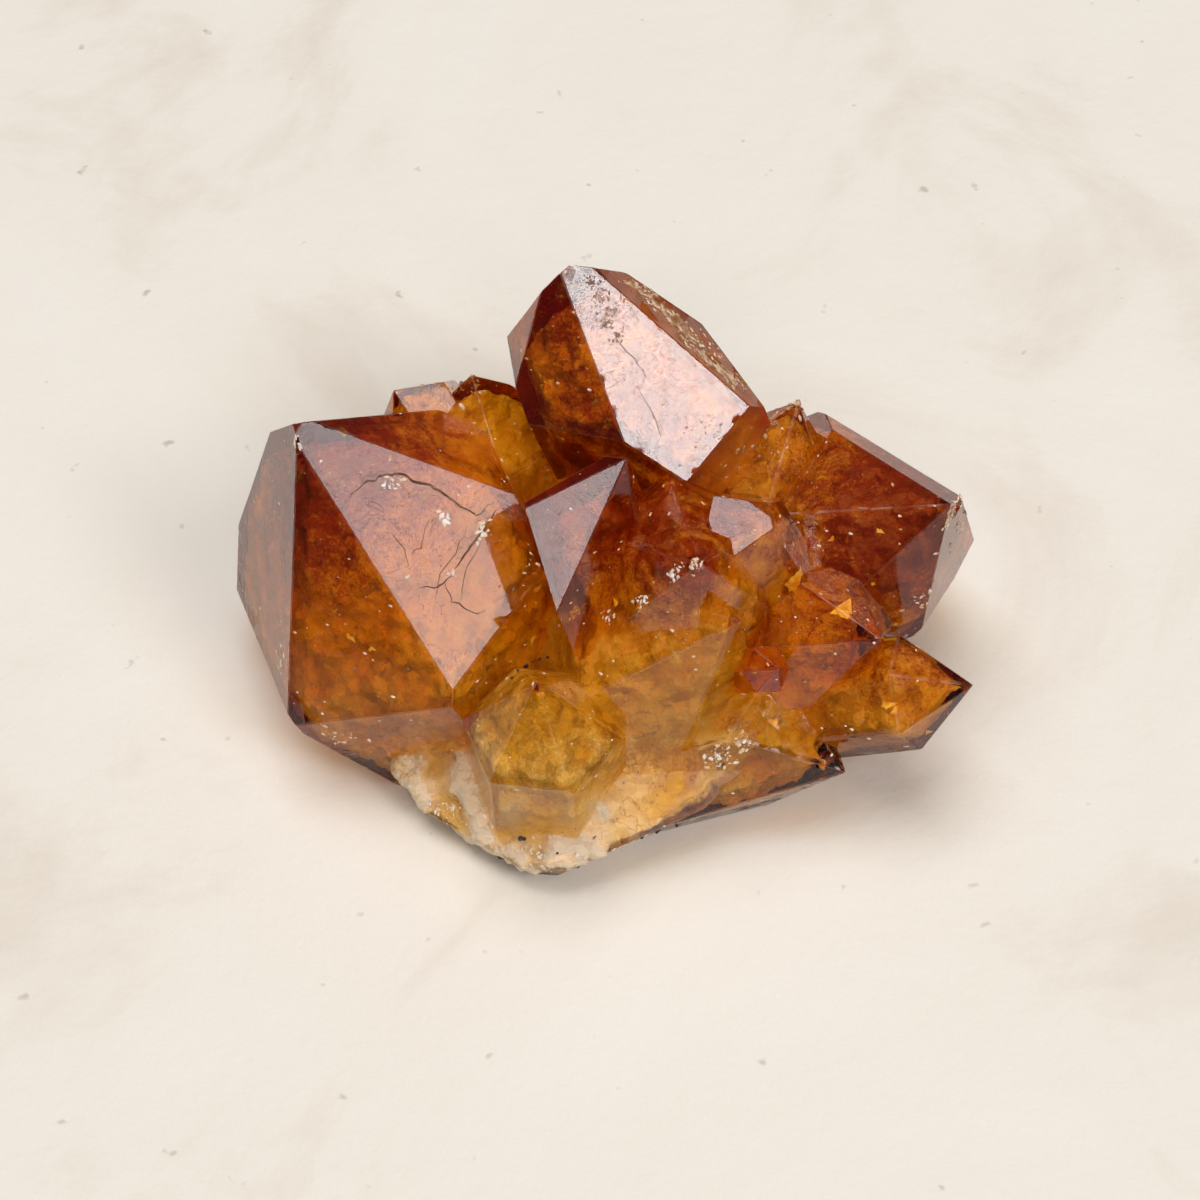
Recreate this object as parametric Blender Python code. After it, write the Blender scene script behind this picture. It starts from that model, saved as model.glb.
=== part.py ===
"""Citrine cluster: quartz crystals grown together from one lump of massive quartz, broken off flat underneath.

Millimetres and degrees. Each crystal is a six-sided bar trimmed to a point by six faces that stand at the
quartz angle to its long axis. All crystals and the lump are joined to one solid that rests on its broken base.
"""

from math import cos, radians, sin

import bmesh
import bpy
from mathutils import Matrix, Vector

MM = 0.001               # the solids are worked out in millimetres and handed over in metres
POINT_ANGLE = 51.8       # between the long axis and the normal of a point face, the same on all quartz
BROKEN_BASE = 0.0        # height of the flat break that the cluster rests on
LUMP_CENTRE = (-1.0, 0.0, 14.0)

for old in list(bpy.data.objects):
    bpy.data.objects.remove(old, do_unlink=True)


def direction(azimuth, elevation):
    """Unit vector from a compass-like azimuth (0 = +X, 90 = +Y) and an elevation."""
    a, e = radians(azimuth), radians(elevation)
    return Vector((cos(a) * cos(e), sin(a) * cos(e), sin(e)))


def trim(bm, point, normal):
    """Cuts away what lies beyond a plane and closes the cut with a flat face."""
    cut = bmesh.ops.bisect_plane(
        bm, geom=bm.verts[:] + bm.edges[:] + bm.faces[:], dist=1e-5,
        plane_co=point, plane_no=normal, clear_outer=True,
    )
    rim = [e for e in cut["geom_cut"] if isinstance(e, bmesh.types.BMEdge) and e.is_boundary]
    if rim:
        bmesh.ops.edgenet_fill(bm, edges=rim)


def finish_solid(bm, name):
    """Makes an object of the closed mesh, with its faces turned outwards."""
    bmesh.ops.dissolve_degenerate(bm, dist=1e-4, edges=bm.edges[:])
    bmesh.ops.recalc_face_normals(bm, faces=bm.faces[:])
    mesh = bpy.data.meshes.new(name)
    bm.to_mesh(mesh)
    bm.free()
    solid = bpy.data.objects.new(name, mesh)
    bpy.context.scene.collection.objects.link(solid)
    return solid


def crystal(name, tip, lean, head, spin, sides, length, set_back=None, twist=None, breaks=()):
    """One quartz point.

    tip: where the six point faces meet. lean, head: tilt of the long axis from upright, and the way it tilts.
    spin: turn about the long axis. sides: distance of the six prism faces from the axis.
    set_back: how far a point face stands out beyond the tip, so that it starts lower and is smaller.
    twist: turn of a point face about the axis. breaks: (azimuth, elevation, distance from the tip) of
    broken or blunted spots.
    """
    set_back = set_back or {}
    twist = twist or {}
    tip = Vector(tip)
    tilt = Matrix.Rotation(radians(head), 3, "Z") @ Matrix.Rotation(radians(lean), 3, "Y")
    tilt = tilt @ Matrix.Rotation(radians(-head), 3, "Z")
    axis = tilt @ Vector((0, 0, 1))

    def around(angle, polar):
        turn = tilt @ Matrix.Rotation(radians(spin + angle), 3, "Z")
        return turn @ Vector((sin(radians(polar)), 0, cos(radians(polar))))

    bm = bmesh.new()
    width = 1.3 * max(sides)
    bmesh.ops.create_cone(
        bm, cap_ends=True, segments=6, radius1=width, radius2=width, depth=length,
        matrix=Matrix.Translation(tip - axis * length / 2) @ around_matrix(tilt, spin + 30),
    )
    for number, side in enumerate(sides):
        normal = around(60 * number, 90)
        trim(bm, tip + normal * side, normal)
    for number in range(6):
        normal = around(60 * number + twist.get(number, 0), POINT_ANGLE)
        trim(bm, tip + normal * set_back.get(number, 0), normal)
    for azimuth, elevation, distance in breaks:
        normal = direction(azimuth, elevation)
        trim(bm, tip + normal * distance, normal)
    return finish_solid(bm, name)


def around_matrix(tilt, spin):
    """4 x 4 turn of a bar that starts upright."""
    return (tilt @ Matrix.Rotation(radians(spin), 3, "Z")).to_4x4()


def lump(name, centre, faces):
    """The massive quartz the crystals stand on: a block with broken faces (azimuth, elevation, distance)."""
    centre = Vector(centre)
    bm = bmesh.new()
    bmesh.ops.create_cube(bm, size=90, matrix=Matrix.Translation(centre))
    for azimuth, elevation, distance in faces:
        normal = direction(azimuth, elevation)
        trim(bm, centre + normal * distance, normal)
    return finish_solid(bm, name)


def combine(target, other, operation):
    """Joins or cuts two solids and removes the second."""
    step = target.modifiers.new(other.name, "BOOLEAN")
    step.operation = operation
    step.solver = "EXACT"
    step.object = other
    depsgraph = bpy.context.evaluated_depsgraph_get()
    result = bpy.data.meshes.new_from_object(target.evaluated_get(depsgraph))
    target.modifiers.clear()
    target.data = result
    bpy.data.objects.remove(other, do_unlink=True)


# The lump: broken faces below and in front, a low top that the crystals hide.
cluster = lump("citrine_cluster", LUMP_CENTRE, faces=[
    (-95, -25, 27.5), (-125, -30, 27.5), (-62, -30, 23), (-155, -35, 28), (180, -40, 26), (-30, -35, 21),
    (0, -35, 24), (30, -35, 31), (70, -35, 35), (110, -35, 35), (150, -35, 32),
    (-90, 10, 24.5), (-85, 50, 10), (-125, 45, 12), (0, 90, -1), (0, -90, 20),
])

# The big crystals, in the order seen from the front: left, upper, central, right.
crystals = [
    crystal("left", (-40, 13, 50), lean=25, head=187, spin=200, sides=(37, 25.5, 23.5, 19, 14, 25), length=50,
            set_back={0: -0.5, 1: 0.5, 3: 1, 5: 4},
            breaks=[(-155, -21, 22.5), (-133, -35, 35), (187, 65, -0.9)]),
    crystal("upper", (-4, 30, 62), lean=18, head=188, spin=188, sides=(12.5, 14.5, 21.5, 20, 24, 16), length=60,
            set_back={0: 2.5, 1: 1, 3: 13}, twist={1: 6, 3: -7},
            breaks=[(16, 47, 1.5), (56, 32, 4), (29, 20, 11.8), (70, 10, 23.5), (-43, 0, 23.5)]),
    crystal("central", (3.5, 6, 51), lean=30, head=-10, spin=237, sides=(15, 17, 16, 14, 8, 9), length=50,
            breaks=[(121, 23, 2), (-172, -16, 14.5)]),
    crystal("right", (46, 8, 40), lean=40, head=-40, spin=336, sides=(16, 20, 18, 13, 16, 14), length=50,
            set_back={1: 6},
            breaks=[(4, 20, 1.5), (-35, -31, 11.5), (46, 28, 2.5)]),

    # Smaller points between them and in front.
    crystal("bright_small", (14.5, 5, 45), lean=25, head=178, spin=176, sides=(6, 5, 5, 6, 7, 6), length=30,
            set_back={1: 1, 3: 1.5}),
    crystal("middle", (12.5, -6.5, 45), lean=35, head=-80, spin=190, sides=(12, 14, 12, 10, 12, 12), length=36),
    crystal("pale", (18, -8.5, 36), lean=40, head=-40, spin=190, sides=(14, 26, 20, 11, 11, 13), length=44),
    crystal("front", (-8, -16, 33), lean=6, head=-100, spin=262, sides=(9, 9.5, 10, 9, 9, 9), length=33),
    crystal("amber_low", (36.5, -7.5, 31), lean=50, head=-50, spin=170, sides=(10, 11, 9, 9, 9, 9), length=34),
    crystal("pink_low", (23, -11.5, 30), lean=40, head=-60, spin=160, sides=(3, 3, 3, 3, 3, 3), length=18),
    crystal("right_low", (49.5, -8, 22), lean=65, head=-12, spin=160, sides=(7, 7, 7, 7, 7, 7), length=34),
    crystal("corner", (33, -15, 12), lean=80, head=-35, spin=160, sides=(10, 20, 20, 12, 9, 10), length=44),

    # A short point in the middle, deep between the big ones.
    crystal("heart", (-2, 22, 37), lean=0, head=0, spin=20, sides=(14, 14, 14, 14, 14, 14), length=30),

    # Points at the back, partly out of the photograph.
    crystal("back_left", (-28, 27, 42), lean=27, head=195, spin=200, sides=(6, 5, 5, 6, 9, 8), length=30,
            set_back={3: 2}),
    crystal("saddle", (-17.5, 30, 42), lean=12, head=120, spin=200, sides=(9, 9, 9, 9, 9, 9), length=36,
            set_back={0: 4, 3: 2}),
    crystal("back_mid", (27, 27, 40), lean=20, head=40, spin=170, sides=(9, 10, 9, 8, 9, 10), length=36),
    crystal("back_a", (-20, 41, 30), lean=45, head=125, spin=10, sides=(10, 9, 11, 10, 8, 10), length=40),
    crystal("back_b", (9, 47, 36), lean=42, head=85, spin=10, sides=(12, 11, 13, 12, 10, 12), length=44),
    crystal("back_c", (35, 38, 24), lean=55, head=45, spin=30, sides=(11, 10, 11, 12, 10, 11), length=44),
    crystal("back_d", (-41, 30, 21), lean=65, head=150, spin=20, sides=(9, 10, 9, 8, 9, 9), length=40),
]
for point in crystals:
    combine(cluster, point, "UNION")

# The break underneath, cut flat.
bm = bmesh.new()
bmesh.ops.create_cube(bm, size=200, matrix=Matrix.Translation((0, 0, BROKEN_BASE - 100)))
combine(cluster, finish_solid(bm, "shelf"), "DIFFERENCE")

# The origin is the middle of the box around the cluster, at its foot.
corners = [Vector(v.co) for v in cluster.data.vertices]
middle_x = (min(c.x for c in corners) + max(c.x for c in corners)) / 2
middle_y = (min(c.y for c in corners) + max(c.y for c in corners)) / 2
cluster.data.transform(Matrix.Scale(MM, 4) @ Matrix.Translation((-middle_x, -middle_y, -BROKEN_BASE)))
print("moved by", round(-middle_x, 3), round(-middle_y, 3), "size", [round(d, 4) for d in cluster.dimensions])

citrine = bpy.data.materials.new("citrine")
citrine.use_nodes = True
shader = citrine.node_tree.nodes["Principled BSDF"]
shader.inputs["Base Color"].default_value = (0.62, 0.3, 0.06, 1)
shader.inputs["Roughness"].default_value = 0.08
shader.inputs["IOR"].default_value = 1.55
shader.inputs["Transmission Weight"].default_value = 1.0
cluster.data.materials.clear()
cluster.data.materials.append(citrine)

home = bpy.data.collections.new("citrine_cluster")
bpy.context.scene.collection.children.link(home)
bpy.context.scene.collection.objects.unlink(cluster)
home.objects.link(cluster)
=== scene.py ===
from math import cos, pi, radians, sin
from random import Random

import bmesh
import bpy
from mathutils import Matrix, Vector, noise
from mathutils.bvhtree import BVHTree


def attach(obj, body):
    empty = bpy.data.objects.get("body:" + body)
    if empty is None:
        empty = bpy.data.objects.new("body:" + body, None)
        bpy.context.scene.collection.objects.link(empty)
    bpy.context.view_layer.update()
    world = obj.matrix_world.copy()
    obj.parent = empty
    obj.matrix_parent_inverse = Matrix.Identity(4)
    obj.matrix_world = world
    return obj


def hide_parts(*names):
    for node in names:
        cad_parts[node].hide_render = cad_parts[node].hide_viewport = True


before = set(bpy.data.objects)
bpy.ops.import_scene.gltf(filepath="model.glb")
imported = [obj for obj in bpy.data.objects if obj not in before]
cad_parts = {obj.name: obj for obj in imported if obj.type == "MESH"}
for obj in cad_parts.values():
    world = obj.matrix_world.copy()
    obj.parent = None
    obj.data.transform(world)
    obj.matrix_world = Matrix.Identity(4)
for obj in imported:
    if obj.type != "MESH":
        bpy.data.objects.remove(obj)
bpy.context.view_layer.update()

# Crystals
# One piece of clear amber quartz: six-sided points that grew together from a common root, each trimmed by its
# prism faces, its six point faces and a few breaks, drawn in millimetres. Edges are slightly worn and chipped.
MM = 0.001
DRAWN_TO_PLACED = Vector((-0.463, -15.097, 0.0))  # from the drawing's origin to the cluster's, in millimetres
POINT_ANGLE = 51.8  # between the long axis and the normal of a point face, the same on all quartz
QUARTZ_IOR = 1.55
WORN_EDGE = 0.08
WEAR_ANGLE = radians(12)  # edges between faces that meet at more than this are worn
EDGE_ANGLE = radians(14)  # and after that, those at more than this are nicked and shaded sharp
FACE_MESH, EDGE_MESH = 1.8, 0.8  # longest sides of the triangles on the faces and at their edges
POINTS = {
    "left": dict(tip=(-40, 13, 50), lean=25, head=187, spin=200, sides=(37, 25.5, 23.5, 19, 14, 25), length=50,
                 set_back={0: -0.5, 1: 0.5, 3: 1, 5: 4},
                 breaks=[(-155, -21, 22.5), (-133, -35, 35), (187, 65, -0.9)]),
    "upper": dict(tip=(-4, 30, 62), lean=18, head=188, spin=188, sides=(12.5, 14.5, 21.5, 20, 24, 16), length=60,
                  set_back={0: 2.5, 1: 1, 3: 13}, twist={1: 6, 3: -7},
                  breaks=[(16, 47, 1.5), (56, 32, 4), (29, 20, 11.8), (70, 10, 23.5), (-43, 0, 23.5)]),
    "central": dict(tip=(3.5, 6, 51), lean=30, head=-10, spin=237, sides=(15, 17, 16, 14, 8, 9), length=50,
                    breaks=[(121, 23, 2), (-172, -16, 14.5)]),
    "right": dict(tip=(46, 8, 40), lean=40, head=-40, spin=336, sides=(16, 20, 18, 13, 16, 14), length=50,
                  set_back={1: 6}, breaks=[(4, 20, 1.5), (-35, -31, 11.5), (46, 28, 2.5)]),
    "bright_small": dict(tip=(14.5, 5, 45), lean=25, head=178, spin=176, sides=(6, 5, 5, 6, 7, 6), length=30,
                         set_back={1: 1, 3: 1.5}),
    "middle": dict(tip=(12.5, -6.5, 45), lean=35, head=-80, spin=190, sides=(12, 14, 12, 10, 12, 12), length=36),
    "pale": dict(tip=(18, -8.5, 36), lean=40, head=-40, spin=190, sides=(14, 26, 20, 11, 11, 13), length=44),
    "front": dict(tip=(-8, -16, 33), lean=6, head=-100, spin=262, sides=(9, 9.5, 10, 9, 9, 9), length=33),
    "amber_low": dict(tip=(36.5, -7.5, 31), lean=50, head=-50, spin=170, sides=(10, 11, 9, 9, 9, 9), length=34),
    "pink_low": dict(tip=(23, -11.5, 30), lean=40, head=-60, spin=160, sides=(3, 3, 3, 3, 3, 3), length=18),
    "right_low": dict(tip=(49.5, -8, 22), lean=65, head=-12, spin=160, sides=(7, 7, 7, 7, 7, 7), length=34),
    "corner": dict(tip=(33, -15, 12), lean=80, head=-35, spin=160, sides=(10, 20, 20, 12, 9, 10), length=44),
    "heart": dict(tip=(-2, 22, 37), lean=0, head=0, spin=20, sides=(14, 14, 14, 14, 14, 14), length=30),
    "back_left": dict(tip=(-28, 27, 42), lean=27, head=195, spin=200, sides=(6, 5, 5, 6, 9, 8), length=30,
                      set_back={3: 2}),
    "saddle": dict(tip=(-17.5, 30, 42), lean=12, head=120, spin=200, sides=(9, 9, 9, 9, 9, 9), length=36,
                   set_back={0: 4, 3: 2}),
    "back_mid": dict(tip=(27, 27, 40), lean=20, head=40, spin=170, sides=(9, 10, 9, 8, 9, 10), length=36),
    "back_a": dict(tip=(-20, 41, 30), lean=45, head=125, spin=10, sides=(10, 9, 11, 10, 8, 10), length=40),
    "back_b": dict(tip=(9, 47, 36), lean=42, head=85, spin=10, sides=(12, 11, 13, 12, 10, 12), length=44),
    "back_c": dict(tip=(35, 38, 24), lean=55, head=45, spin=30, sides=(11, 10, 11, 12, 10, 11), length=44),
    "back_d": dict(tip=(-41, 30, 21), lean=65, head=150, spin=20, sides=(9, 10, 9, 8, 9, 9), length=40),
}
LUMP_CENTRE = (-1.0, 0.0, 14.0)
LUMP_FACES = [
    (-95, -25, 27.5), (-125, -30, 27.5), (-62, -30, 23), (-155, -35, 28), (180, -40, 26), (-30, -35, 21),
    (0, -35, 24), (30, -35, 31), (70, -35, 35), (110, -35, 35), (150, -35, 32),
    (-90, 10, 24.5), (-85, 50, 10), (-125, 45, 12), (0, 90, -1), (0, -90, 20),
]
# Bites out of the glass where it was knocked: place and size in millimetres.
CHIPS = [
    ((-39.4, 9.3, 49.3), 2.4), ((-39.2, 7.4, 47.0), 1.3), ((-11.9, -3.8, 30.0), 2.0), ((-9.3, 7.4, 36.6), 1.3),
    ((49.4, 10.4, 36.0), 2.6), ((49.2, 7.6, 38.6), 2.2), ((48.4, 4.6, 33.0), 1.6), ((38.6, -7.6, 31.4), 1.2),
]
# Places whose edges are crumbly: centre and reach. The more crumbly an edge, the deeper its nicks.
CRUMBLY = [((6, -5, 37), 8), ((48, 8, 36), 7), ((-47, 2, 18), 9), ((-30, -8, 8), 10), ((28, -13, 8), 12)]
CRUMBLY_ANYWHERE = 0.28
DEEPEST_NICK = 1.1
# The growth map's U tells the kinds of face apart, and every point has its own rows in V.
PRISM_U, POINT_U, BREAK_U = 20, 60, 100
ROW_HEIGHT, LUMP_ROW = 12, 30


def direction(azimuth, elevation):
    """Unit vector from an azimuth (0 = +X, 90 = +Y) and an elevation in degrees."""
    a, e = radians(azimuth), radians(elevation)
    return Vector((cos(a) * cos(e), sin(a) * cos(e), sin(e)))


def trim(bm, point, normal):
    """Cuts away what lies beyond a plane and closes the cut with a flat face."""
    cut = bmesh.ops.bisect_plane(
        bm, geom=bm.verts[:] + bm.edges[:] + bm.faces[:], dist=1e-5,
        plane_co=point, plane_no=normal, clear_outer=True,
    )
    rim = [e for e in cut["geom_cut"] if isinstance(e, bmesh.types.BMEdge) and e.is_boundary]
    if rim:
        bmesh.ops.edgenet_fill(bm, edges=rim)


def crystal_form(tip, lean, head, spin, sides, length, set_back=None, twist=None, breaks=(), inset=0.0):
    """One point of quartz as a mesh, with its long axis.

    tip: where the point faces meet. lean, head: tilt of the long axis, and the way it tilts. spin: turn about
    the axis. sides: distance of the prism faces from the axis. set_back: how far a point face stands out beyond
    the tip. twist: turn of a point face about the axis. breaks: azimuth, elevation and distance from the tip of
    broken spots. inset: draws it that much smaller on every side.
    """
    set_back = set_back or {}
    twist = twist or {}
    tip = Vector(tip)
    tilt = Matrix.Rotation(radians(head), 3, "Z") @ Matrix.Rotation(radians(lean), 3, "Y")
    tilt = tilt @ Matrix.Rotation(radians(-head), 3, "Z")
    axis = tilt @ Vector((0, 0, 1))

    def around(angle, polar):
        turn = tilt @ Matrix.Rotation(radians(spin + angle), 3, "Z")
        return turn @ Vector((sin(radians(polar)), 0, cos(radians(polar))))

    bm = bmesh.new()
    width = 1.3 * max(sides)
    bar = (tilt @ Matrix.Rotation(radians(spin + 30), 3, "Z")).to_4x4()
    bmesh.ops.create_cone(
        bm, cap_ends=True, segments=6, radius1=width, radius2=width, depth=length,
        matrix=Matrix.Translation(tip - axis * length / 2) @ bar,
    )
    for number, side in enumerate(sides):
        normal = around(60 * number, 90)
        trim(bm, tip + normal * (side - inset), normal)
    for number in range(6):
        normal = around(60 * number + twist.get(number, 0), POINT_ANGLE)
        trim(bm, tip + normal * (set_back.get(number, 0) - inset), normal)
    for azimuth, elevation, distance in breaks:
        normal = direction(azimuth, elevation)
        trim(bm, tip + normal * (distance - inset), normal)
    bmesh.ops.dissolve_degenerate(bm, dist=1e-4, edges=bm.edges[:])
    bmesh.ops.recalc_face_normals(bm, faces=bm.faces[:])
    return bm, axis


def lump_form(inset=0.0):
    """The broken lump of massive quartz under the points."""
    bm = bmesh.new()
    bmesh.ops.create_cube(bm, size=90, matrix=Matrix.Translation(LUMP_CENTRE))
    for azimuth, elevation, distance in LUMP_FACES:
        normal = direction(azimuth, elevation)
        trim(bm, Vector(LUMP_CENTRE) + normal * (distance - inset), normal)
    bmesh.ops.recalc_face_normals(bm, faces=bm.faces[:])
    return bm


def wear_edges(bm, width):
    """A narrow flat along every edge, a little wider on some edges than on others."""
    flats = []
    for edge in bm.edges:
        if len(edge.link_faces) == 2 and edge.calc_face_angle() > WEAR_ANGLE:
            a, b = edge.link_faces
            normal = (a.normal + b.normal).normalized()
            middle = (edge.verts[0].co + edge.verts[1].co) / 2
            flats.append((middle - normal * width * (0.4 + 1.1 * abs(noise.noise(middle / 3))), normal))
    for point, normal in flats:
        trim(bm, point, normal)
    bmesh.ops.dissolve_degenerate(bm, dist=1e-4, edges=bm.edges[:])
    bmesh.ops.recalc_face_normals(bm, faces=bm.faces[:])


def lay_growth_map(bm, origin, axis, row, broken=False):
    """UV in centimetres: across each face and up it along the axis, with the kind of face added to U."""
    point_rise = cos(radians(POINT_ANGLE))
    layer = bm.loops.layers.uv.new("growth")
    for face in bm.faces:
        rise = face.normal.dot(axis)
        up = axis - face.normal * rise
        up = up.normalized() if up.length > 0.05 else face.normal.orthogonal().normalized()
        across = up.cross(face.normal)
        upright = abs(rise) < 0.12
        if broken or not upright and abs(rise - point_rise) > 0.03:
            kind = BREAK_U
        else:
            kind = PRISM_U if upright else POINT_U
        for loop in face.loops:
            place = loop.vert.co - Vector(origin)
            loop[layer].uv = (place.dot(across) / 10 + kind, place.dot(up) / 10 + ROW_HEIGHT * row)


def solid(bm, name):
    """Makes an object of a mesh that is being drawn."""
    mesh = bpy.data.meshes.new(name)
    bm.to_mesh(mesh)
    bm.free()
    made = bpy.data.objects.new(name, mesh)
    bpy.context.scene.collection.objects.link(made)
    return made


def finished_mesh(thing):
    """The mesh of an object after its modifiers or its bevel."""
    return bpy.data.meshes.new_from_object(thing.evaluated_get(bpy.context.evaluated_depsgraph_get()))


def combine(target, other, operation):
    """Joins or cuts two solids and removes the second."""
    step = target.modifiers.new(other.name, "BOOLEAN")
    step.operation = operation
    step.solver = "EXACT"
    step.object = other
    result = finished_mesh(target)
    target.modifiers.clear()
    target.data = result
    bpy.data.objects.remove(other, do_unlink=True)


def place_on_origin(thing):
    """From the drawing's millimetres to the cluster's own frame in metres."""
    thing.data.transform(Matrix.Scale(MM, 4) @ Matrix.Translation(DRAWN_TO_PLACED))


def on_sharp_edge(edge):
    return any(e.calc_face_angle(0) > EDGE_ANGLE for v in edge.verts for e in v.link_edges)


def split_long(bm, longest, keep=lambda edge: True):
    """Halves edges until none that should be kept short is longer than longest."""
    for _ in range(7):
        long_edges = [e for e in bm.edges if e.calc_length() > longest and keep(e)]
        if not long_edges:
            return
        bmesh.ops.subdivide_edges(bm, edges=long_edges, cuts=1, use_single_edge=True)
        bmesh.ops.triangulate(bm, faces=[f for f in bm.faces if len(f.verts) > 3], quad_method="SHORT_EDGE")


bm = lump_form()
wear_edges(bm, WORN_EDGE)
lay_growth_map(bm, LUMP_CENTRE, Vector((0, 0, 1)), LUMP_ROW, broken=True)
glass = solid(bm, "crystals")
for row, (name, shape) in enumerate(POINTS.items()):
    bm, axis = crystal_form(**shape)
    wear_edges(bm, WORN_EDGE)
    lay_growth_map(bm, shape["tip"], axis, row)
    combine(glass, solid(bm, name), "UNION")
for place, size in CHIPS:
    bm = bmesh.new()
    bmesh.ops.create_icosphere(bm, subdivisions=3, radius=size, matrix=Matrix.Translation(place))
    for vert in bm.verts:
        vert.co += vert.normal * noise.noise(vert.co / 1.3) * size * 0.3
    combine(glass, solid(bm, "chip"), "DIFFERENCE")
bm = bmesh.new()
bmesh.ops.create_cube(bm, size=200, matrix=Matrix.Translation((0, 0, -100)))
combine(glass, solid(bm, "shelf"), "DIFFERENCE")

# Small triangles, smallest at the edges, so that the edges can be nicked and the faces can wave a little.
bm = bmesh.new()
bm.from_mesh(glass.data)
bmesh.ops.triangulate(bm, faces=bm.faces[:])
bmesh.ops.dissolve_degenerate(bm, dist=0.01, edges=bm.edges[:])
bmesh.ops.triangulate(bm, faces=[f for f in bm.faces if len(f.verts) > 3])
split_long(bm, FACE_MESH)
split_long(bm, EDGE_MESH, on_sharp_edge)
bm.normal_update()
crests = [v for v in bm.verts if any(e.calc_face_angle(0) > EDGE_ANGLE and e.is_convex for e in v.link_edges)]
nicks = []
for vert in crests:
    crumbly = CRUMBLY_ANYWHERE + max([0] + [1 - (vert.co - Vector(c)).length / r for c, r in CRUMBLY])
    bite = noise.noise(vert.co / 1.2) * 0.6 + noise.noise(vert.co / 0.5) * 0.4 - 0.3 + 0.25 * crumbly
    nicks.append((vert, -vert.normal * max(0.0, bite) * DEEPEST_NICK * min(1.0, crumbly)))
for vert in bm.verts:
    vert.co += vert.normal * (noise.noise(vert.co / 9) * 0.04 - 0.04)
for vert, move in nicks:
    vert.co += move
for vert in bm.verts:
    vert.co.z = max(vert.co.z, 0.02)
bm.to_mesh(glass.data)
bm.free()
place_on_origin(glass)
glass.data.shade_smooth()
glass.data.set_sharp_from_angle(angle=EDGE_ANGLE)


def new_material(name):
    """A material, its node tree and its Principled shader."""
    material = bpy.data.materials.new(name)
    material.use_nodes = True
    return material, material.node_tree, material.node_tree.nodes["Principled BSDF"]


def object_place(tree):
    return tree.nodes.new("ShaderNodeTexCoord").outputs["Object"]


def uv_place(tree, layer):
    node = tree.nodes.new("ShaderNodeUVMap")
    node.uv_map = layer
    return node.outputs[0]


def split_vector(tree, vector):
    """The three outputs of a vector."""
    node = tree.nodes.new("ShaderNodeSeparateXYZ")
    tree.links.new(vector, node.inputs[0])
    return node.outputs


def math_node(tree, operation, *values):
    """A Math node, each value a number or an output."""
    node = tree.nodes.new("ShaderNodeMath")
    node.operation = operation
    for number, value in enumerate(values):
        if isinstance(value, (int, float)):
            node.inputs[number].default_value = value
        else:
            tree.links.new(value, node.inputs[number])
    return node.outputs[0]


def vector_node(tree, operation, *values):
    """A Vector Math node, each value three numbers or an output."""
    node = tree.nodes.new("ShaderNodeVectorMath")
    node.operation = operation
    for number, value in enumerate(values):
        if isinstance(value, tuple):
            node.inputs[number].default_value = value
        else:
            tree.links.new(value, node.inputs[number])
    return node.outputs["Vector" if operation == "SUBTRACT" else "Value"]


def noise_node(tree, vector, scale, detail=2.0, roughness=0.5, distortion=0.0):
    node = tree.nodes.new("ShaderNodeTexNoise")
    node.inputs["Scale"].default_value = scale
    node.inputs["Detail"].default_value = detail
    node.inputs["Roughness"].default_value = roughness
    node.inputs["Distortion"].default_value = distortion
    tree.links.new(vector, node.inputs["Vector"])
    return node.outputs[0]


def ramp_node(tree, value, *stops):
    """A Color Ramp with stops of a position and a colour or a grey."""
    node = tree.nodes.new("ShaderNodeValToRGB")
    while len(node.color_ramp.elements) < len(stops):
        node.color_ramp.elements.new(0.5)
    for element, (position, colour) in zip(node.color_ramp.elements, stops):
        element.position = position
        element.color = (*colour, 1) if isinstance(colour, tuple) else (colour, colour, colour, 1)
    tree.links.new(value, node.inputs[0])
    return node.outputs[0]


def mix_node(tree, factor, first, second):
    """A blend of two colours, each three numbers or an output."""
    node = tree.nodes.new("ShaderNodeMix")
    node.data_type = "RGBA"
    tree.links.new(factor, node.inputs["Factor"])
    for name, value in (("A", first), ("B", second)):
        if isinstance(value, tuple):
            node.inputs[name].default_value = (*value, 1)
        else:
            tree.links.new(value, node.inputs[name])
    return node.outputs["Result"]


def bump_node(tree, height, strength, distance, normal=None):
    """A Bump node, on top of another one where normal is given."""
    node = tree.nodes.new("ShaderNodeBump")
    node.inputs["Strength"].default_value = strength
    node.inputs["Distance"].default_value = distance
    tree.links.new(height, node.inputs["Height"])
    if normal is not None:
        tree.links.new(normal, node.inputs["Normal"])
    return node.outputs[0]


def crest_lines(tree, value, width):
    """Thin lines where a noise passes its middle."""
    off_middle = math_node(tree, "ABSOLUTE", math_node(tree, "SUBTRACT", value, 0.5))
    return ramp_node(tree, off_middle, (0.0, 1.0), (width, 0.0))


# Flat facets of broken quartz, each tilted its own way: a height in metres for a Bump node.
facets = bpy.data.node_groups.new("broken_facets", "ShaderNodeTree")
facets.interface.new_socket("Vector", in_out="INPUT", socket_type="NodeSocketVector")
facets.interface.new_socket("Scale", in_out="INPUT", socket_type="NodeSocketFloat")
facets.interface.new_socket("Height", in_out="OUTPUT", socket_type="NodeSocketFloat")
inside, outside = facets.nodes.new("NodeGroupInput"), facets.nodes.new("NodeGroupOutput")
cells = facets.nodes.new("ShaderNodeTexVoronoi")
facets.links.new(inside.outputs["Vector"], cells.inputs["Vector"])
facets.links.new(inside.outputs["Scale"], cells.inputs["Scale"])
from_centre = vector_node(facets, "SUBTRACT", inside.outputs["Vector"], cells.outputs["Position"])
slope = vector_node(facets, "SUBTRACT", cells.outputs["Color"], (0.5, 0.5, 0.5))
facets.links.new(vector_node(facets, "DOT_PRODUCT", from_centre, slope), outside.inputs["Height"])


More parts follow.
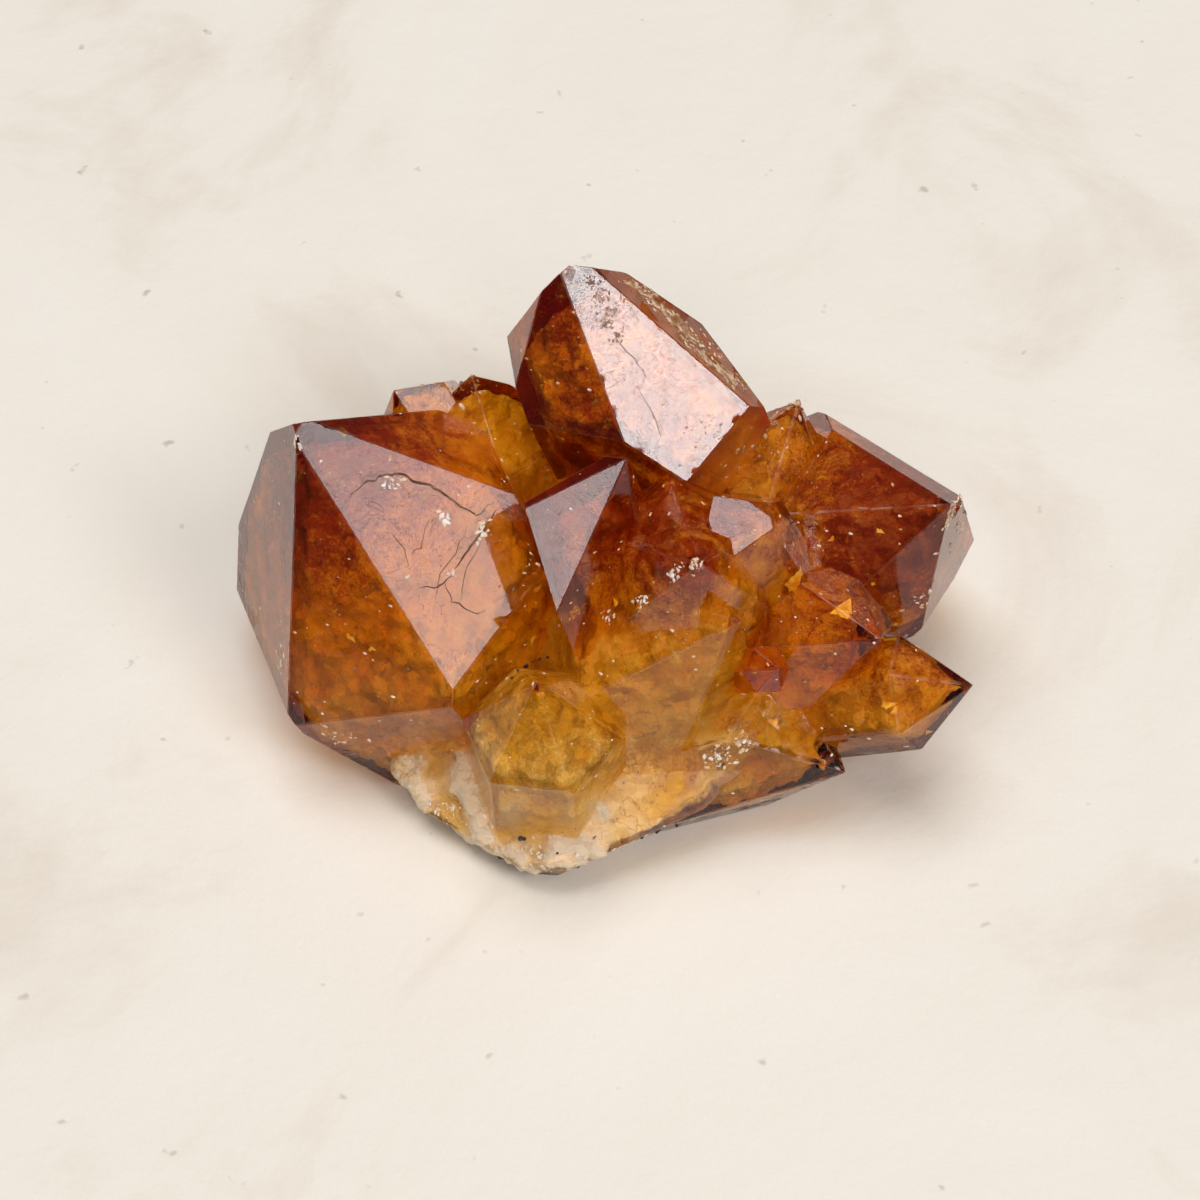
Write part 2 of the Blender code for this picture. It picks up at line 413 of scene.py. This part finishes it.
def facet_bump(tree, vector, scale, amount, normal=None):
    """A Bump node of broken facets, scale per metre, amount a number or a mask."""
    group = tree.nodes.new("ShaderNodeGroup")
    group.node_tree = facets
    tree.links.new(vector, group.inputs["Vector"])
    group.inputs["Scale"].default_value = scale
    return bump_node(tree, math_node(tree, "MULTIPLY", group.outputs["Height"], amount), 1.0, 1.0, normal)


citrine, tree, shader = new_material("citrine_glass")
nodes, links = tree.nodes, tree.links
shader.inputs["IOR"].default_value = QUARTZ_IOR
shader.inputs["Transmission Weight"].default_value = 1.0
absorb = nodes.new("ShaderNodeVolumeAbsorption")
absorb.inputs["Color"].default_value = (0.955, 0.815, 0.12, 1)
absorb.inputs["Density"].default_value = 450
output = nodes["Material Output"]
links.new(absorb.outputs[0], output.inputs["Volume"])

# Object coordinates for grain and wear, the growth map for lines along and across the faces.
place = object_place(tree)
growth = uv_place(tree, "growth")
kind = split_vector(tree, growth)[0]
prism = math_node(tree, "LESS_THAN", kind, (PRISM_U + POINT_U) / 2)
broken = math_node(tree, "GREATER_THAN", kind, (POINT_U + BREAK_U) / 2)
stretch = nodes.new("ShaderNodeMapping")
stretch.inputs["Scale"].default_value = (1.3, 16, 1)
links.new(growth, stretch.inputs["Vector"])
lines = math_node(tree, "MULTIPLY", noise_node(tree, stretch.outputs[0], 1.0, 3, 0.6), prism)
terraces = math_node(tree, "SNAP", noise_node(tree, place, 260, 2, 0.55), 0.07)
grain = math_node(tree, "MULTIPLY", noise_node(tree, place, 1100, 2),
                  math_node(tree, "MULTIPLY_ADD", broken, 1.2, 0.03))
height = math_node(tree, "ADD", math_node(tree, "MULTIPLY_ADD", terraces, 0.6, lines), grain)
bump = bump_node(tree, height, 0.5, 0.00012)

# Broken facets on the breaks, and in patches low down.
low_down = math_node(tree, "MULTIPLY_ADD", split_vector(tree, place)[2], -60, 1.05)
low_down.node.use_clamp = True
patchy = ramp_node(tree, noise_node(tree, place, 120, 2), (0.42, 0.0), (0.6, 1.0))
loose = math_node(tree, "MAXIMUM", math_node(tree, "MULTIPLY", low_down, patchy),
                  math_node(tree, "MULTIPLY", broken, 0.7))
links.new(facet_bump(tree, place, 330, math_node(tree, "MULTIPLY", loose, 0.5), bump), shader.inputs["Normal"])

# Fine growth lines and healed cracks, in patches, brown where dirt has settled in them.
lone = ramp_node(tree, noise_node(tree, place, 75, 2), (0.47, 0.0), (0.56, 1.0))
arcs = crest_lines(tree, noise_node(tree, place, 130, 3, 0.55, 1.6), 0.011)
threads = crest_lines(tree, noise_node(tree, stretch.outputs[0], 0.9, 4, 0.62, 0.8), 0.012)
dots = nodes.new("ShaderNodeTexVoronoi")
dots.inputs["Scale"].default_value = 1500
links.new(place, dots.inputs["Vector"])
specks = math_node(tree, "MULTIPLY", ramp_node(tree, dots.outputs["Distance"], (0.16, 1.0), (0.3, 0.0)),
                   ramp_node(tree, noise_node(tree, place, 200, 1), (0.55, 0.0), (0.64, 1.0)))
marks = math_node(tree, "MAXIMUM", math_node(tree, "MULTIPLY", arcs, lone),
                  math_node(tree, "MULTIPLY", threads, 0.5))
marks = math_node(tree, "MAXIMUM", marks, math_node(tree, "MULTIPLY", specks, 0.8))
links.new(mix_node(tree, marks, (0.97, 0.93, 0.88), (0.46, 0.25, 0.15)), shader.inputs["Base Color"])
wear = ramp_node(tree, noise_node(tree, place, 420, 2, 0.7), (0.45, 0.03), (0.75, 0.16))
rough = math_node(tree, "MULTIPLY_ADD", broken, 0.3, math_node(tree, "MULTIPLY", marks, 0.12))
links.new(math_node(tree, "ADD", rough, wear), shader.inputs["Roughness"])

# Light that falls through the glass on the milky quartz, as Cycles doesn't follow it through a refraction.
clear = nodes.new("ShaderNodeBsdfTransparent")
clear.inputs["Color"].default_value = (0.62, 0.57, 0.5, 1)
path = nodes.new("ShaderNodeLightPath")
mix = nodes.new("ShaderNodeMixShader")
links.new(path.outputs["Is Shadow Ray"], mix.inputs[0])
links.new(shader.outputs[0], mix.inputs[1])
links.new(clear.outputs[0], mix.inputs[2])
links.new(mix.outputs[0], output.inputs["Surface"])
glass.data.materials.clear()
glass.data.materials.append(citrine)
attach(glass, "root")
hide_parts("citrine_cluster")

# Milky quartz
# The cloudy inside of the roots and the massive quartz that the points grew from, seen through their clear skin:
# cream below, golden halfway up, deep brown-red towards the points.
LUMP_INSET = -0.4  # the lump's own cloud comes out through the skin a little, as a sugary foot
# For each point: how far the cloud stays under its faces, and how far from its tip the deep colour reaches.
CLOUDS = {"left": (3.1, 35), "upper": (3.0, 18), "central": (2.6, 31), "right": (1.9, 37), "middle": (1.4, 13),
          "pale": (0.8, 3), "front": (1.1, 3), "amber_low": (3.0, 12), "right_low": (0.9, 2.5), "corner": (0.8, 3),
          "heart": (1.5, 7), "back_a": (2.2, 14), "back_b": (2.5, 15), "back_c": (2.5, 14), "back_d": (2.2, 14),
          "saddle": (1.2, 1), "back_mid": (1.2, 3), "bright_small": (1.4, 13), "back_left": (1.0, 3)}
CLOUD_MESH = 0.75  # the size of its squares


def share(value, whole):
    """How much of the whole a value is, from 0 to 1."""
    return min(1.0, max(0.0, value / whole))


cloud = [solid(lump_form(LUMP_INSET), "lump_core")]
for name, (inset, reach) in CLOUDS.items():
    cloud.append(solid(crystal_form(**POINTS[name], inset=inset)[0], name + "_core"))
bm = bmesh.new()
for part in cloud:
    bm.from_mesh(part.data)
    bpy.data.objects.remove(part)
bmesh.ops.bisect_plane(bm, geom=bm.verts[:] + bm.edges[:] + bm.faces[:], plane_co=(0, 0, 0.9),
                       plane_no=(0, 0, -1), clear_outer=True)
bmesh.ops.edgenet_fill(bm, edges=[e for e in bm.edges if e.is_boundary])
milk = solid(bm, "milky_quartz")
remesh = milk.modifiers.new("fuse", "REMESH")
remesh.mode = "VOXEL"
remesh.voxel_size = CLOUD_MESH
milk.data = finished_mesh(milk)
milk.modifiers.clear()
bm = bmesh.new()
bm.from_mesh(milk.data)
for _ in range(2):
    bmesh.ops.smooth_vert(bm, verts=bm.verts[:], factor=0.5, use_axis_x=True, use_axis_y=True, use_axis_z=True)
bm.normal_update()

# Folds all over, deeper under the low right points, and swells in the pale lower part. The layer holds the
# distance from the nearest tip, 1 where its deep colour ends.
layer = bm.verts.layers.float.new("depth")
reaches = [(Vector(POINTS[name]["tip"]), reach) for name, (inset, reach) in CLOUDS.items()]
for vert in bm.verts:
    vert[layer] = min((vert.co - tip).length / reach for tip, reach in reaches)
    folds = noise.noise(vert.co / 4) * 0.9 + noise.noise(vert.co / 1.7) * 0.6 + noise.noise(vert.co / 0.8) * 0.3
    under = 2.0 * share(vert.co.x - 1, 8) * share(18 - vert.co.z, 6)
    swell = noise.noise(vert.co / 6 + Vector((7, 3, 5))) * 1.6 * share(26 - vert.co.z, 10)
    vert.co += vert.normal * (min(folds, 0.6) - 0.5 - under + min(swell, 0.4))
    vert.co.z = max(vert.co.z, 0.5)
bm.to_mesh(milk.data)
bm.free()
place_on_origin(milk)
milk.data.shade_smooth()

# The colour follows that distance, with patches and wisps of the next colour in it.
sugar, tree, shader = new_material("milky_quartz")
place = object_place(tree)
depth = tree.nodes.new("ShaderNodeAttribute")
depth.attribute_name = "depth"
patches = math_node(tree, "MULTIPLY_ADD", noise_node(tree, place, 190, 3, 0.6, 1.5), 0.75, -0.375)
wisps = math_node(tree, "MULTIPLY_ADD", noise_node(tree, place, 900, 4, 0.75, 2.2), 0.95, -0.475)
zone = math_node(tree, "ADD", math_node(tree, "ADD", depth.outputs["Fac"], patches), wisps)
colour = ramp_node(
    tree, math_node(tree, "DIVIDE", zone, 1.5),
    (0.0, (0.19, 0.008, 0.0005)), (0.3, (0.27, 0.022, 0.001)), (0.48, (0.58, 0.23, 0.002)),
    (0.66, (0.62, 0.32, 0.010)), (0.84, (0.60, 0.37, 0.11)), (1.0, (0.84, 0.66, 0.46)),
)
tree.links.new(colour, shader.inputs["Base Color"])
shader.inputs["Roughness"].default_value = 0.5
bump = bump_node(tree, noise_node(tree, place, 1500, 2), 0.6, 0.0004)
tree.links.new(facet_bump(tree, place, 600, 0.7, bump), shader.inputs["Normal"])
milk.data.materials.clear()
milk.data.materials.append(sugar)
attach(milk, "root")
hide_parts("citrine_cluster")

# Veils
# Healed cracks inside the clear parts of the points: thin wavy sheets of tiny bubbles, golden where they show.
VEIL_COUNT = 200
VEIL_DEPTHS = (0.5, 3.4)
VEIL_COVER = 0.25 * MM  # the least glass over a veil
VEILS_ABOVE = 0.009  # the height in metres from which there are veils, as FLECKS_ABOVE is for flecks
chance = Random(12)
skin = bmesh.new()
skin.from_mesh(glass.data)
under_skin = BVHTree.FromBMesh(skin)
skin.free()


def picked(faces, weigh, count):
    """Faces taken at random by their weight, each with the number that was drawn for it."""
    sums, total = [], 0.0
    for face in faces:
        total += weigh(face)
        sums.append(total)
    at = 0
    for spot in sorted(chance.uniform(0, total) for _ in range(count)):
        while sums[at] < spot:
            at += 1
        yield faces[at], spot


def facing(normal, turn=0.0):
    """The turn that lays a flat thing on a face."""
    return normal.to_track_quat("Z", "Y").to_matrix() @ Matrix.Rotation(turn, 3, "Z")


bm = bmesh.new()
layer = bm.loops.layers.uv.new("spread")
sides = [f for f in glass.data.polygons if f.center.z > VEILS_ABOVE]
for side, _ in picked(sides, lambda face: face.area, VEIL_COUNT):
    deep = chance.uniform(*VEIL_DEPTHS) * MM
    wide = chance.uniform(0.8, 1.0 + deep / MM) * MM
    turn = facing(side.normal, chance.uniform(0, 2 * pi)) @ Matrix.Rotation(chance.uniform(-1.1, 1.1), 3, "X")
    sheet = bmesh.ops.create_grid(bm, x_segments=8, y_segments=8, size=1.0)["verts"]
    for face in {f for v in sheet for f in v.link_faces}:
        for loop in face.loops:
            loop[layer].uv = (loop.vert.co.x, loop.vert.co.y)
    for vert in sheet:
        flat = Vector((vert.co.x * wide, vert.co.y * wide * 0.6, 0))
        flat.z = noise.noise(flat / 0.002 + side.center * 900) * 0.3 * wide
        vert.co = turn @ flat + side.center - side.normal * deep
        near, outward, *_ = under_skin.find_nearest(vert.co)
        if (near - vert.co).dot(outward) < VEIL_COVER:
            vert.co = near - outward * VEIL_COVER
veils = solid(bm, "veils")
veils.data.shade_smooth()
veil, tree, shader = new_material("veil")
shader.inputs["Base Color"].default_value = (0.95, 0.66, 0.22, 1)
shader.inputs["Roughness"].default_value = 0.35
from_middle = vector_node(tree, "LENGTH", uv_place(tree, "spread"))
fade = ramp_node(tree, from_middle, (0.2, 1.0), (0.95, 0.0))
lace = ramp_node(tree, noise_node(tree, object_place(tree), 900, 5, 0.75, 1.2), (0.5, 0.0), (0.66, 0.8))
tree.links.new(math_node(tree, "MULTIPLY", fade, lace), shader.inputs["Alpha"])
veils.data.materials.append(veil)
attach(veils, "root")
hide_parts("citrine_cluster")

# Cracks
# Fine open cracks in the big bright face of the left point, and a few in the others, dark tubes of painted shade.
# Each is drawn by its width and a few places in millimetres across the cluster, and dropped straight down on the
# glass.
CRACKS = [
    (0.3, [(-33.5, 5.5), (-31, 8.4), (-28.6, 9.9), (-26, 10.6), (-24, 10.2), (-21.4, 10), (-18.8, 8.9), (-16.2, 8),
            (-14, 10.2)]),
    (0.3, [(-13.6, 9.3), (-16.4, 5.3), (-19.3, 1.4)]),
    (0.2, [(-19.3, 0.8), (-21.3, -0.8), (-23.6, -1.2)]),
    (0.16, [(-20.3, 0), (-19.4, -1.8), (-16.4, -2.6), (-15, -2)]),
    (0.12, [(-22.6, 6.2), (-23.5, 3.3), (-24.6, 2)]),
    (0.12, [(-17.5, 6.5), (-19, 3.2), (-21, 0.8), (-21.4, -2.5)]),
    (0.12, [(-15.5, 5.6), (-17.8, 1.5), (-18.2, -1.5)]),
    (0.12, [(-27.2, 4.0), (-25.6, 2.6), (-24.8, 0.6)]),
    (0.12, [(4.5, 20.5), (6.8, 18.2), (8.2, 15.6)]),
    (0.12, [(1.5, 24.5), (4.5, 22.8), (6.5, 20.8)]),
]
CRACK_STEPS = 6


def drop(x, y, sink):
    """The glass straight below a place in millimetres, or sink under it, in the cluster's own frame."""
    start = (Vector((x, y, 90)) + DRAWN_TO_PLACED) * MM
    point, normal, *_ = under_skin.ray_cast(start, Vector((0, 0, -1)))
    return point - normal * sink * MM


bm = bmesh.new()
for width, stops in CRACKS:
    line = bpy.data.curves.new("crack", "CURVE")
    line.dimensions = "3D"
    line.bevel_depth = width * MM / 2
    line.bevel_resolution = 1
    spline = line.splines.new("POLY")
    walk = []
    for a, b in zip(stops, stops[1:]):
        for step in range(CRACK_STEPS):
            x = a[0] + (b[0] - a[0]) * step / CRACK_STEPS
            y = a[1] + (b[1] - a[1]) * step / CRACK_STEPS
            walk.append((x + noise.noise((x, y, 1)) * 0.35, y + noise.noise((x, y, 5)) * 0.35))
    walk.append(stops[-1])
    spline.points.add(len(walk) - 1)
    for number, (x, y) in enumerate(walk):
        spline.points[number].co = (*drop(x, y, width * 0.2), 1)
        spline.points[number].radius = 0.35 + 0.9 * sin(pi * (number + 0.5) / len(walk))
    thing = bpy.data.objects.new("crack", line)
    bpy.context.scene.collection.objects.link(thing)
    bm.from_mesh(finished_mesh(thing))
    bpy.data.objects.remove(thing)
cracks = solid(bm, "cracks")
cracks.data.shade_smooth()

# Colour that wanders between a dark and a light tone, for crumbs, dirt and minerals, and for painted shade and
# painted glints.
mottle = bpy.data.node_groups.new("mottle", "ShaderNodeTree")
for name, kind in (("Vector", "Vector"), ("Scale", "Float"), ("Dark", "Color"), ("Light", "Color")):
    mottle.interface.new_socket(name, in_out="INPUT", socket_type="NodeSocket" + kind)
mottle.interface.new_socket("Color", in_out="OUTPUT", socket_type="NodeSocketColor")
inside, outside = mottle.nodes.new("NodeGroupInput"), mottle.nodes.new("NodeGroupOutput")
blotches = noise_node(mottle, inside.outputs["Vector"], 1.0, 3)
mottle.links.new(inside.outputs["Scale"], blotches.node.inputs["Scale"])
light_part = ramp_node(mottle, blotches, (0.4, 0.0), (0.62, 1.0))
mottle.links.new(mix_node(mottle, light_part, inside.outputs["Dark"], inside.outputs["Light"]),
                 outside.inputs["Color"])


def mottled(name, dark, light, scale, roughness):
    """An opaque material of two tones, in blotches of 1 / scale metre."""
    material, tree, shader = new_material(name)
    group = tree.nodes.new("ShaderNodeGroup")
    group.node_tree = mottle
    tree.links.new(object_place(tree), group.inputs["Vector"])
    group.inputs["Scale"].default_value = scale
    group.inputs["Dark"].default_value = (*dark, 1)
    group.inputs["Light"].default_value = (*light, 1)
    tree.links.new(group.outputs["Color"], shader.inputs["Base Color"])
    shader.inputs["Roughness"].default_value = roughness
    return material


# Painted shade: the cracks' dark brown stands in for the shade inside them.
cracks.data.materials.append(mottled("crack_shadow", (0.09, 0.035, 0.015), (0.26, 0.13, 0.06), 900, 0.7))
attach(cracks, "root")
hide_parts("citrine_cluster")

# Flecks
# Crumbs of quartz and bright spots of broken surface all over the cluster, cream-white and golden and partly
# painted glints, and the black mineral grains that grew with it on the front.
FLECK_COUNT = 1000
FLECKS_ABOVE = 0.004


def fleck_patchiness(face):
    """More flecks in some patches of the surface than in others."""
    return face.area * (0.4 + 1.2 * max(0.0, noise.noise(face.center / 0.006) + 0.2))


bm = bmesh.new()
faces = [f for f in glass.data.polygons if f.center.z > FLECKS_ABOVE]
for face, spot in picked(faces, fleck_patchiness, FLECK_COUNT):
    size = 0.00006 + 0.00016 * chance.random() ** 3
    made = bmesh.ops.create_icosphere(bm, subdivisions=1, radius=size)["verts"]
    tilt = facing(face.normal)
    for vert in made:
        flat = vert.co.copy()
        flat.x *= 1.7 * (1 + noise.noise((spot * 1e5, 0, flat.x * 9000)))
        flat.z *= 0.5
        vert.co = tilt @ flat + face.center
flecks = solid(bm, "flecks")
flecks.data.materials.append(mottled("crumb_and_painted_glint", (0.62, 0.30, 0.07), (0.95, 0.88, 0.76), 500, 0.3))
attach(flecks, "root")
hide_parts("citrine_cluster")


def touch(place):
    """The glass nearest to a place in millimetres, and its normal there."""
    point, normal, *_ = under_skin.find_nearest((Vector(place) + DRAWN_TO_PLACED) * MM)
    return point, normal


def strewn(name, patches, smallest, largest, flat, material):
    """A piece of crumbs strewn on the glass around places. Sizes are in millimetres, flat is their height."""
    bm = bmesh.new()
    for place, reach, count in patches:
        for _ in range(count):
            spread = Vector((chance.gauss(0, 0.45), chance.gauss(0, 0.45), chance.gauss(0, 0.45))) * reach
            point, normal = touch(Vector(place) + spread)
            size = (smallest + (largest - smallest) * chance.random() ** 3) * MM
            made = bmesh.ops.create_icosphere(bm, subdivisions=1, radius=size)["verts"]
            turn = facing(normal, chance.uniform(0, pi))
            for vert in made:
                crumb = vert.co * (1 + 0.6 * noise.noise(vert.co / size + point * 1e4))
                vert.co = turn @ Vector((crumb.x * 1.6, crumb.y * 0.9, crumb.z * flat)) + point
    made = solid(bm, name)
    made.data.materials.append(material)
    return made


# White broken spots on the faces and crumbling edges, partly real chips and partly painted glints: place, reach
# and number.
CHIPS_AND_PAINTED_GLINTS = [
    ((-27.2, 9.4, 42.7), 1.4, 26), ((-20.3, 6.9, 38.5), 1.0, 20), ((-15.4, 6.4, 36.3), 1.6, 34),
    ((-20, 0.6, 34.2), 1.5, 8), ((-39.2, 11.0, 48.6), 1.3, 22), ((12.3, -6.1, 44.6), 1.0, 22),
    ((9.6, -5.6, 41.8), 1.2, 26), ((5.2, -5.1, 36), 1.5, 24), ((1, -3.9, 31.4), 1.4, 14), ((48, 9, 36.5), 2.6, 34),
    ((15.6, -14.6, 15), 2.2, 60), ((18.6, -13.4, 17.2), 1.6, 30), ((-25.8, -13.4, 6), 3.4, 50),
    ((-21, -17, 6), 3.4, 60), ((-16.6, -20, 6), 3.0, 50), ((-8, -25, 6.2), 3.4, 60), ((-2.6, -24, 4), 3.2, 50),
    ((4, -21, 3), 3.0, 36), ((-3.4, 29.4, 61.4), 1.2, 20), ((16, 30, 50), 4.0, 26), ((44.0, 3.0, 24.0), 3.0, 20),
    ((-44, 0, 20), 5.0, 30), ((-35, -7, 12), 4.0, 30), ((-9.4, 4.4, 31), 3.0, 16),
]
chips_and_painted_glints = strewn("chips_and_painted_glints", CHIPS_AND_PAINTED_GLINTS, 0.06, 0.34, 0.45,
                     mottled("white_chip_and_painted_glint", (0.78, 0.55, 0.34), (0.96, 0.93, 0.88), 700, 0.25))
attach(chips_and_painted_glints, "root")
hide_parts("citrine_cluster")

# Brown pits etched in the top of the upper point's bright face, and specks of dirt here and there.
ETCHED = [
    ((-1.3, 28.9, 60), 1.2, 50), ((0, 27.9, 58.5), 1.3, 80), ((1.6, 27, 57.1), 1.2, 60),
    ((0.8, 25.5, 56), 1.4, 90), ((2.4, 24.5, 54.5), 1.3, 50), ((3.4, 28.2, 57.5), 1.0, 20),
    ((14, 16, 46), 3.0, 14), ((-13.2, 0, 31), 2.4, 16), ((-24, 5, 39), 6.0, 22), ((6, 12, 38), 12, 40),
    ((30, 0, 25), 12, 40), ((-30, -4, 25), 10, 40), ((0, -18, 15), 12, 50),
]
pits = strewn("etched_pits", ETCHED, 0.03, 0.2, 0.25,
              mottled("etched_brown", (0.20, 0.10, 0.06), (0.42, 0.27, 0.19), 900, 0.6))
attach(pits, "root")
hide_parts("citrine_cluster")

# A tan crust of crumbs on the broken back of the upper point, and on the worn shoulder of the right one.
CRUST = [
    ((4.6, 32.7, 55.6), 2.0, 60), ((7.3, 32.8, 53.2), 2.4, 90), ((9.9, 31.3, 51.3), 2.4, 90),
    ((12, 28.8, 50), 2.4, 100), ((14.1, 26.3, 48.8), 2.2, 90), ((16.3, 25.9, 46.9), 2.2, 80),
    ((18.4, 25.6, 45.1), 2.2, 60), ((48, 8, 37), 2.2, 30), ((50, 12, 30), 4.0, 40), ((27, 27, 39), 5.0, 60),
    ((22, 22, 36), 5.0, 40), ((-19, 30, 40), 5.0, 40),
]
crust = strewn("crust", CRUST, 0.08, 0.42, 0.35,
               mottled("tan_crust", (0.32, 0.13, 0.03), (0.78, 0.60, 0.42), 600, 0.5))
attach(crust, "root")
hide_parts("citrine_cluster")

# Painted golden glints: small flat cracks just under the surface, painted bright gold as the light they would
# mirror, with place and size. Each is a larger leaf and a smaller one beside it.
PAINTED_GLINTS = [
    ((26, 1.4, 31.3), 2.0), ((32.2, -1.6, 30.9), 2.3), ((25.7, 5, 35.3), 0.7), ((30.7, 8.2, 32.6), 0.6),
    ((37.6, -11.1, 21.7), 1.0), ((38.8, -12, 21.4), 0.7), ((44, -11.2, 15.6), 0.9), ((23.3, -10.6, 17.4), 1.2),
    ((23.6, -9.6, 18), 0.6), ((-33, -4.3, 26.9), 0.8), ((-30.3, -5.7, 26.5), 0.7), ((-8, 2.3, 29.3), 0.8),
    ((-8.7, -1.2, 23.1), 0.9), ((6, 0, 30), 0.8), ((2, 8, 38), 0.6), ((38, 10, 33), 0.6), ((36, 6, 28), 0.6),
]
PAINTED_GLINT_DEPTH = 0.9
bm = bmesh.new()
for spot, size in PAINTED_GLINTS:
    for part in range(2):
        beside = Vector((chance.uniform(-1, 1), chance.uniform(-1, 1), 0)) * size * 0.5 * part
        point, normal = touch(Vector(spot) + beside)
        turn = facing(normal, chance.uniform(0, 2 * pi)) @ Matrix.Rotation(chance.uniform(-0.3, 0.3), 3, "X")
        wide = size * (0.9 - 0.4 * part) * MM
        leaf = bmesh.ops.create_circle(bm, cap_ends=True, segments=3 + 2 * part, radius=wide)["verts"]
        for vert in leaf:
            flat = vert.co * (1 + 0.5 * noise.noise(vert.co * 3000 + point * 1e4))
            vert.co = turn @ Vector((flat.x * 1.3, flat.y * 0.7, 0)) + point - normal * PAINTED_GLINT_DEPTH * MM
painted_glints = solid(bm, "painted_golden_glints")
# Painted highlight: the leaves' bright gold stands in for the light that the cracks mirror.
painted_glints.data.materials.append(mottled("painted_golden_glint", (0.80, 0.30, 0.01), (1.0, 0.66, 0.10), 900, 0.3))
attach(painted_glints, "root")
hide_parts("citrine_cluster")

# Places of the black grains on the glass, and their sizes in millimetres. Each is a clump of three.
GRAINS = [
    ((-11.5, -9.5, 25.5), 0.34), ((-10.8, -8.3, 25.4), 0.26), ((-10, -3.7, 20.7), 0.42), ((-9, -2.8, 20.4), 0.22),
    ((-8.1, -2, 20), 0.2), ((-7, -2.6, 21.2), 0.3), ((-10.3, -22.4, 7.3), 0.5), ((-5.8, -23.6, 6), 0.25),
    ((7.8, -17, 1.6), 0.4), ((10.5, -16.5, 2.2), 0.34), ((5.6, -18, 2), 0.3),
]
bm = bmesh.new()
for spot, size in GRAINS:
    point, normal = touch(spot)
    for _ in range(3):
        made = bmesh.ops.create_icosphere(bm, subdivisions=2, radius=size * MM * chance.uniform(0.4, 0.8))["verts"]
        shift = Vector((chance.uniform(-1, 1), chance.uniform(-1, 1), chance.uniform(-0.3, 0.3))) * size * MM * 0.6
        for vert in made:
            vert.co += vert.co.normalized() * noise.noise(vert.co / 0.0001 + point * 1000) * size * MM * 0.25
            vert.co += point + shift
grains = solid(bm, "black_grains")
grains.data.materials.append(mottled("black_mineral", (0.008, 0.008, 0.012), (0.05, 0.035, 0.03), 1500, 0.35))
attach(grains, "root")
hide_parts("citrine_cluster")

# Studio
# A pale plaster floor with faint stains, painted a darker grey far out as shade, windows in front of the cluster
# and beside it, a soft light from above, and the camera that looks down on it.
FLOOR_SIZE = 1.5
AIM = Vector((-0.00046, -0.0151, 0.030))
LAMP_DISTANCE = 2.5
CAMERA_DISTANCE, CAMERA_ANGLE = 0.33, 27

bm = bmesh.new()
bmesh.ops.create_grid(bm, x_segments=1, y_segments=1, size=FLOOR_SIZE)
floor = solid(bm, "floor")
plaster, tree, shader = new_material("plaster")
place = object_place(tree)
stains = noise_node(tree, place, 14, 6, 0.62, 0.8)
tone = ramp_node(tree, stains, (0.34, (0.78, 0.725, 0.64)), (0.46, (0.855, 0.815, 0.745)),
                 (0.7, (0.875, 0.845, 0.785)))
specks = ramp_node(tree, noise_node(tree, place, 230, 2), (0.22, 0.6), (0.28, 0.0))
# Painted shade: the floor turns a darker grey further out from the cluster.
far_out = ramp_node(tree, vector_node(tree, "LENGTH", place), (0.22, 0.0), (0.6, 1.0))
tone = mix_node(tree, specks, tone, (0.42, 0.37, 0.31))
tone = mix_node(tree, far_out, tone, (0.36, 0.34, 0.31))
tree.links.new(tone, shader.inputs["Base Color"])
shader.inputs["Roughness"].default_value = 0.9
bump = bump_node(tree, noise_node(tree, place, 150, 4, 0.75), 0.5, 0.0006)
tree.links.new(bump, shader.inputs["Normal"])
floor.data.materials.append(plaster)

world = bpy.data.worlds.new("studio")
world.use_nodes = True
background = world.node_tree.nodes["Background"]
background.inputs["Color"].default_value = (1, 0.97, 0.94, 1)
background.inputs["Strength"].default_value = 0.06
bpy.context.scene.world = world


def lamp(name, azimuth, elevation, width, height, radiance, colour):
    """A window, seen from the cluster under an azimuth and an elevation, with its size in metres."""
    data = bpy.data.lights.new(name, "AREA")
    data.shape = "RECTANGLE"
    data.size = width
    data.size_y = height
    data.energy = radiance * pi * width * height
    data.color = colour
    made = bpy.data.objects.new(name, data)
    made.location = AIM + direction(azimuth, elevation) * LAMP_DISTANCE
    made.rotation_euler = (AIM - made.location).to_track_quat("-Z", "Y").to_euler()
    bpy.context.scene.collection.objects.link(made)


lamp("side_window", -41, 47, 1.0, 1.0, 5.2, (1.0, 0.96, 0.95))
lamp("bright_pane", -44, 40, 0.5, 0.4, 8.5, (1.0, 0.97, 0.95))
lamp("front_window", -92, 41, 1.3, 0.5, 6.0, (1.0, 0.96, 0.95))
lamp("top_light", 125, 78, 1.8, 1.8, 4.4, (1.0, 0.97, 0.94))

camera = bpy.data.objects.new("camera", bpy.data.cameras.new("camera"))
camera.data.angle = radians(CAMERA_ANGLE)
camera.location = AIM + direction(-90, 50) * CAMERA_DISTANCE
camera.rotation_euler = (AIM - camera.location).to_track_quat("-Z", "Y").to_euler()
camera.data.clip_start = 0.01
bpy.context.scene.collection.objects.link(camera)
bpy.context.scene.camera = camera
bpy.context.scene.view_settings.view_transform = "Standard"
